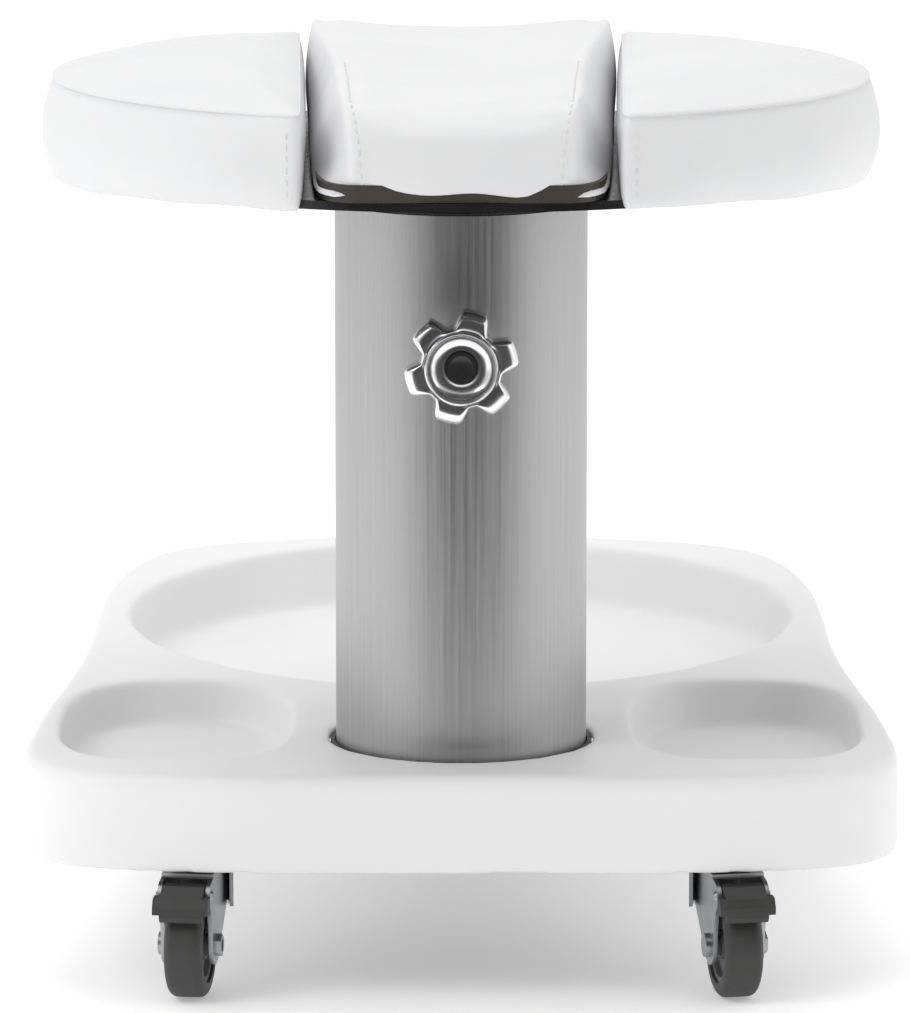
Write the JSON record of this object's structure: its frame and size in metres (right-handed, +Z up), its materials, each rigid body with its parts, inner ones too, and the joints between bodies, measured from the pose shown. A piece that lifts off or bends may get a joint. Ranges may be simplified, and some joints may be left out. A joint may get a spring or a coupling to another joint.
{
  "type": "pedicure stool",
  "caption": "Rolling pedicure stool: round upholstered top on a telescopic column with a star clamp knob, standing on a moulded tray base with a foot bath recess and swivel castors.",
  "frame": {"origin": "on the floor, under the middle of the stool's bounding box; the column axis stands 137.5 mm towards -Y from it", "axes": "+Z up; -Y is the technician's side with the clamp knob and the trays; +Y is the side with the foot bath recess; +X to the right seen from -Y"},
  "size_m": [0.417, 0.651, 0.4365],
  "materials": {
    "white_plastic": "satin moulded white plastic",
    "dark_rubber": "matt black seal",
    "brushed_column": "brushed along the column",
    "brushed_inner": "ground tube",
    "nylon": "black nylon",
    "chrome_knob": "polished chrome",
    "dark_plastic": "dark inset cap",
    "black_steel": "black powder coat",
    "plywood": "plywood, dark stained edge",
    "white_vinyl": "white upholstery vinyl",
    "grey_tyre": "dark grey polyurethane",
    "hub_plastic": "grey hub with a pale ring",
    "pedal_plastic": "dark grey plastic",
    "zinc_steel": "zinc plated steel"
  },
  "bodies": {
    "base": {"base_frame": "black_steel", "base_shell": "white_plastic", "castor_bolts": "zinc_steel", "castor_front_left_plate": "zinc_steel", "castor_front_right_plate": "zinc_steel", "castor_kingpins": "zinc_steel", "castor_rear_left_plate": "zinc_steel", "castor_rear_right_plate": "zinc_steel", "clamp_boss": "zinc_steel", "column_bolts": "zinc_steel", "column_collar": "dark_rubber", "column_flange": "black_steel", "column_tube": "brushed_column", "shell_screws": "zinc_steel", "upper_guide_ring": "nylon"},
    "lift_column": {"inner_column": "brushed_inner", "lower_guide_ring": "nylon", "swivel_hub_lower": "black_steel", "swivel_balls": "zinc_steel", "hub_retaining_ring": "zinc_steel"},
    "seat": {"swivel_hub_upper": "black_steel", "hub_bolts": "zinc_steel", "seat_plate": "black_steel", "seat_bolts": "zinc_steel", "left_wing_board": "plywood", "right_wing_board": "plywood", "centre_board": "plywood", "left_cushion": "white_vinyl", "right_cushion": "white_vinyl", "centre_cushion": "white_vinyl"},
    "clamp_shoe": {"clamp_shoe": "zinc_steel"},
    "knob": {"star_knob": "chrome_knob", "knob_cap": "dark_plastic", "clamp_stud": "zinc_steel"},
    "front_left_fork": {"castor_front_left_fork": "zinc_steel", "castor_front_left_axle": "zinc_steel", "castor_front_left_brake_pin": "zinc_steel"},
    "front_left_wheel": {"castor_front_left_hub": "hub_plastic", "castor_front_left_tyre": "grey_tyre"},
    "front_left_pedal": {"castor_front_left_brake_pedal": "pedal_plastic"},
    "front_right_fork": {"castor_front_right_fork": "zinc_steel", "castor_front_right_axle": "zinc_steel", "castor_front_right_brake_pin": "zinc_steel"},
    "front_right_wheel": {"castor_front_right_hub": "hub_plastic", "castor_front_right_tyre": "grey_tyre"},
    "front_right_pedal": {"castor_front_right_brake_pedal": "pedal_plastic"},
    "rear_left_fork": {"castor_rear_left_fork": "zinc_steel", "castor_rear_left_axle": "zinc_steel", "castor_rear_left_brake_pin": "zinc_steel"},
    "rear_left_wheel": {"castor_rear_left_hub": "hub_plastic", "castor_rear_left_tyre": "grey_tyre"},
    "rear_left_pedal": {"castor_rear_left_brake_pedal": "pedal_plastic"},
    "rear_right_fork": {"castor_rear_right_fork": "zinc_steel", "castor_rear_right_axle": "zinc_steel", "castor_rear_right_brake_pin": "zinc_steel"},
    "rear_right_wheel": {"castor_rear_right_hub": "hub_plastic", "castor_rear_right_tyre": "grey_tyre"},
    "rear_right_pedal": {"castor_rear_right_brake_pedal": "pedal_plastic"}
  },
  "joints": [
    {"name": "column_lift", "type": "slide", "parent": "base", "child": "lift_column", "axis": [0, 0, 1], "range_m": [0, 0.15]},
    {"name": "seat_swivel", "type": "hinge", "parent": "lift_column", "child": "seat", "pos_m": [0, -0.1375, 0.38], "axis": [0, 0, 1], "continuous": true},
    {"name": "clamp_press", "type": "slide", "parent": "base", "child": "clamp_shoe", "axis": [0, -1, 0], "range_m": [0, 0.00263]},
    {"name": "knob_turn", "type": "hinge", "parent": "clamp_shoe", "child": "knob", "pos_m": [0, -0.2145, 0.301], "axis": [0, -1, 0], "range_deg": [0, 540]},
    {"name": "front_left_swivel", "type": "hinge", "parent": "base", "child": "front_left_fork", "pos_m": [-0.1245, -0.1945, 0.06], "axis": [0, 0, 1], "continuous": true},
    {"name": "front_left_roll", "type": "hinge", "parent": "front_left_fork", "child": "front_left_wheel", "pos_m": [-0.12756, -0.21629, 0.025], "axis": [0.9903, -0.1392, 0], "continuous": true},
    {"name": "front_left_brake", "type": "hinge", "parent": "front_left_fork", "child": "front_left_pedal", "pos_m": [-0.12951, -0.23015, 0.0515], "axis": [0.9903, -0.1392, 0], "range_deg": [0, 11]},
    {"name": "front_right_swivel", "type": "hinge", "parent": "base", "child": "front_right_fork", "pos_m": [0.1245, -0.1945, 0.06], "axis": [0, 0, 1], "continuous": true},
    {"name": "front_right_roll", "type": "hinge", "parent": "front_right_fork", "child": "front_right_wheel", "pos_m": [0.1287, -0.2161, 0.025], "axis": [0.9816, 0.1908, 0], "continuous": true},
    {"name": "front_right_brake", "type": "hinge", "parent": "front_right_fork", "child": "front_right_pedal", "pos_m": [0.13137, -0.22984, 0.0515], "axis": [0.9816, 0.1908, 0], "range_deg": [0, 11]},
    {"name": "rear_left_swivel", "type": "hinge", "parent": "base", "child": "rear_left_fork", "pos_m": [-0.112, 0.2475, 0.06], "axis": [0, 0, 1], "continuous": true},
    {"name": "rear_left_roll", "type": "hinge", "parent": "rear_left_fork", "child": "rear_left_wheel", "pos_m": [-0.10305, 0.2274, 0.025], "axis": [0.9135, 0.4067, 0], "continuous": true},
    {"name": "rear_left_brake", "type": "hinge", "parent": "rear_left_fork", "child": "rear_left_pedal", "pos_m": [-0.09736, 0.21461, 0.0515], "axis": [0.9135, 0.4067, 0], "range_deg": [0, 11]},
    {"name": "rear_right_swivel", "type": "hinge", "parent": "base", "child": "rear_right_fork", "pos_m": [0.112, 0.2475, 0.06], "axis": [0, 0, 1], "continuous": true},
    {"name": "rear_right_roll", "type": "hinge", "parent": "rear_right_fork", "child": "rear_right_wheel", "pos_m": [0.10818, 0.22583, 0.025], "axis": [0.9848, -0.1736, 0], "continuous": true},
    {"name": "rear_right_brake", "type": "hinge", "parent": "rear_right_fork", "child": "rear_right_pedal", "pos_m": [0.10575, 0.21205, 0.0515], "axis": [0.9848, -0.1736, 0], "range_deg": [0, 11]}
  ],
  "couplings": [
    {"joint": "clamp_press", "follows": "knob_turn", "m_per_rad": 0.00027852}
  ]
}
